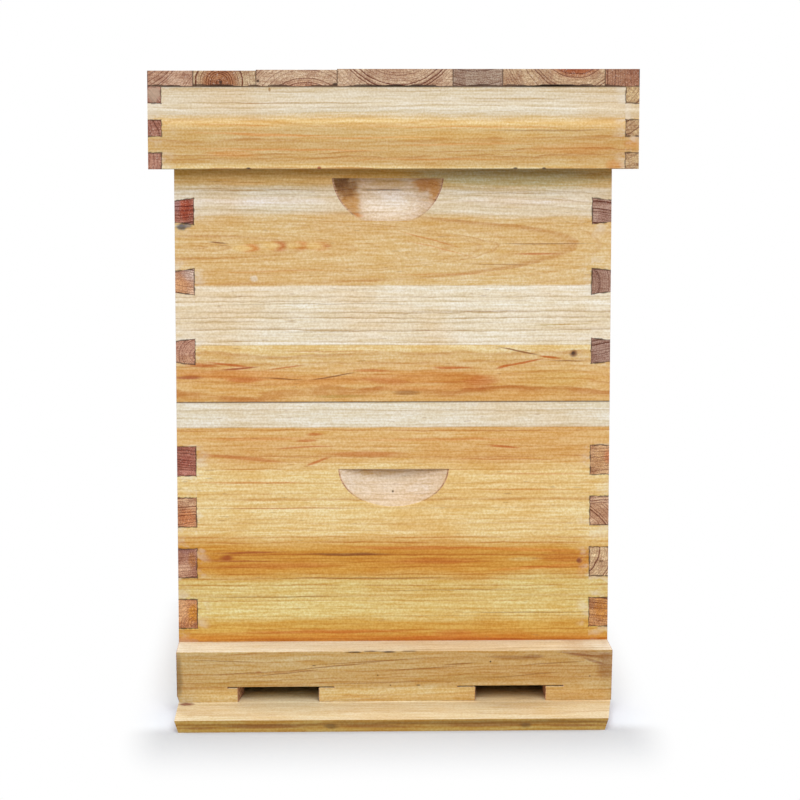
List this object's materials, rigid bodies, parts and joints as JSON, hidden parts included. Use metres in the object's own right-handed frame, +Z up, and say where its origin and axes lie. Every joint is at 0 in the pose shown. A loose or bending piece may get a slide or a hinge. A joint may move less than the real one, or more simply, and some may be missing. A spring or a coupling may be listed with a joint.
{
  "type": "wooden beehive",
  "caption": "Wooden beehive of stacked finger-jointed and dovetailed boxes with hanging frames, a slotted entrance block, a landing board and a flat lift-off lid.",
  "frame": {"origin": "on the ground under the middle of the hive boxes", "axes": "+X to the right seen from the front, +Y towards the back, +Z up; the entrance faces -Y"},
  "size_m": [0.455, 0.6375, 0.6032],
  "materials": {
    "box_wood": "matt, planed",
    "lid_rim_wood": "matt, planed",
    "lid_plank_wood": "matt, planed",
    "floor_wood": "matt, planed",
    "block_wood": "matt, planed",
    "frame_wood": "matt, planed",
    "cover_wood": "matt, planed",
    "beeswax": "satin wax",
    "nail_steel": "bright wire",
    "wire_steel": "tinned"
  },
  "bodies": {
    "bottom_board": {"bottom_left_rail": "floor_wood", "bottom_right_rail": "floor_wood", "bottom_rear_rail": "floor_wood", "landing_board": "floor_wood", "floor_plank_2": "floor_wood", "floor_plank_3": "floor_wood", "floor_plank_4": "floor_wood", "bottom_nails": "nail_steel"},
    "entrance_bar": {"entrance_block": "block_wood"},
    "lower_box": {"lower_front_board": "box_wood", "lower_back_board": "box_wood", "lower_left_board": "box_wood", "lower_right_board": "box_wood", "lower_box_nails": "nail_steel"},
    "lower_frame_set": {"lower_frame_01": "frame_wood", "lower_frame_02": "frame_wood", "lower_frame_03": "frame_wood", "lower_frame_04": "frame_wood", "lower_frame_05": "frame_wood", "lower_frame_06": "frame_wood", "lower_frame_07": "frame_wood", "lower_frame_08": "frame_wood", "lower_frame_09": "frame_wood", "lower_frame_10": "frame_wood", "lower_foundations": "beeswax", "lower_frame_wires": "wire_steel"},
    "upper_box": {"upper_front_board": "box_wood", "upper_back_board": "box_wood", "upper_left_board": "box_wood", "upper_right_board": "box_wood", "upper_box_nails": "nail_steel"},
    "upper_frame_set": {"upper_frame_01": "frame_wood", "upper_frame_02": "frame_wood", "upper_frame_03": "frame_wood", "upper_frame_04": "frame_wood", "upper_frame_05": "frame_wood", "upper_frame_06": "frame_wood", "upper_frame_07": "frame_wood", "upper_frame_08": "frame_wood", "upper_frame_09": "frame_wood", "upper_frame_10": "frame_wood", "upper_foundations": "beeswax", "upper_frame_wires": "wire_steel"},
    "inner_cover": {"inner_cover_panel": "cover_wood", "inner_cover_front_batten": "cover_wood", "inner_cover_rear_batten": "cover_wood"},
    "lid": {"lid_front_rim": "lid_rim_wood", "lid_back_rim": "lid_rim_wood", "lid_left_rim": "lid_rim_wood", "lid_right_rim": "lid_rim_wood", "lid_plank_1": "lid_plank_wood", "lid_plank_2": "lid_plank_wood", "lid_plank_3": "lid_plank_wood", "lid_plank_4": "lid_plank_wood", "lid_plank_5": "lid_plank_wood", "lid_plank_6": "lid_plank_wood", "lid_plank_7": "lid_plank_wood", "lid_front_cleat": "lid_rim_wood", "lid_rear_cleat": "lid_rim_wood", "lid_nails": "nail_steel"}
  },
  "joints": [
    {"name": "entrance_block_slide", "type": "slide", "parent": "bottom_board", "child": "entrance_bar", "axis": [0, -1, 0], "range_m": [0, 0.12]},
    {"name": "lower_box_lift", "type": "slide", "parent": "bottom_board", "child": "lower_box", "axis": [0, 0, 1], "range_m": [0, 0.15]},
    {"name": "lower_frames_lift", "type": "slide", "parent": "lower_box", "child": "lower_frame_set", "axis": [0, 0, 1], "range_m": [0, 0.27]},
    {"name": "upper_box_lift", "type": "slide", "parent": "lower_frame_set", "child": "upper_box", "axis": [0, 0, 1], "range_m": [0, 0.15]},
    {"name": "upper_frames_lift", "type": "slide", "parent": "upper_box", "child": "upper_frame_set", "axis": [0, 0, 1], "range_m": [0, 0.27]},
    {"name": "inner_cover_lift", "type": "slide", "parent": "upper_frame_set", "child": "inner_cover", "axis": [0, 0, 1], "range_m": [0, 0.1]},
    {"name": "lid_lift", "type": "slide", "parent": "inner_cover", "child": "lid", "axis": [0, 0, 1], "range_m": [0, 0.15]}
  ]
}
